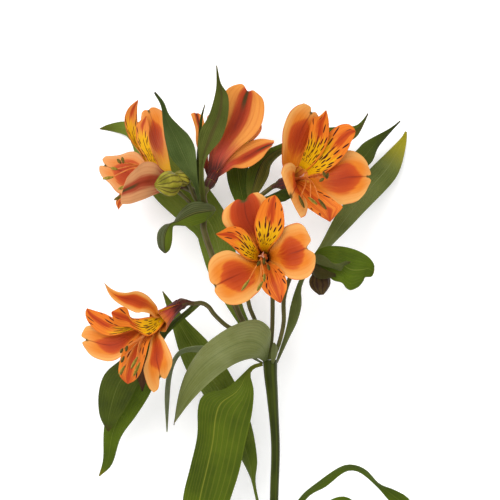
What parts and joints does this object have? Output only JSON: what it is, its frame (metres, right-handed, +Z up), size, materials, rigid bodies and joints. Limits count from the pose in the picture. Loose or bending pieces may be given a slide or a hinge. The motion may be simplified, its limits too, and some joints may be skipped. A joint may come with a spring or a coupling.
{
  "type": "cut flower stem",
  "caption": "Cut alstroemeria stem lying down, with orange trumpet blooms, buds and long twisted leaves on a branching green stem.",
  "frame": {"origin": "middle of the footprint, on the surface the stem lies on", "axes": "+Z up from the surface, towards the faces of the flowers; +Y along the stem towards its flowers; +X to the right as seen from above"},
  "size_m": [0.1889, 0.4044, 0.0961],
  "materials": {
    "stem": "smooth green plant tissue, stood in for by a matte plastic",
    "stalk": "brownish green plant tissue, stood in for by a matte plastic",
    "leaf": "satin leaf tissue, stood in for by a matte plastic",
    "petal": "soft satin petal tissue, stood in for by a matte plastic",
    "anther": "powdery, stood in for by a matte plastic",
    "bud": "smooth striped green bud tissue, stood in for by a matte plastic",
    "withered": "dry brown tissue, stood in for by a matte plastic"
  },
  "bodies": {
    "root": {"bloom_centre": "petal", "bloom_left": "petal", "bloom_right": "petal", "bloom_top": "petal", "bloom_top_left": "petal", "bract_curled": "leaf", "bract_left": "leaf", "bract_pink": "leaf", "bract_right_large": "leaf", "bract_right_small": "leaf", "bract_right_under": "leaf", "bract_thin": "leaf", "bract_top": "leaf", "bract_withered": "withered", "bud_large": "bud", "bud_small": "bud", "bud_withered": "withered", "leaf_back_left": "leaf", "leaf_back_right": "leaf", "leaf_broad": "leaf", "leaf_dark": "leaf", "leaf_front": "leaf", "leaf_hanging_back": "leaf", "leaf_hanging_front": "leaf", "leaf_low_back": "leaf", "leaf_low_right": "leaf", "leaf_narrow": "leaf", "leaf_olive": "leaf", "leaf_right": "leaf", "leaf_rising": "leaf", "main_stem": "stem", "ray_bud": "stalk", "ray_centre": "stalk", "ray_left": "stalk", "ray_right": "stalk", "ray_upper_left": "stalk", "sheath": "leaf", "stamens_centre": "anther", "stamens_left": "anther", "stamens_right": "anther", "stamens_top": "anther", "stamens_top_left": "anther"}
  },
  "joints": []
}
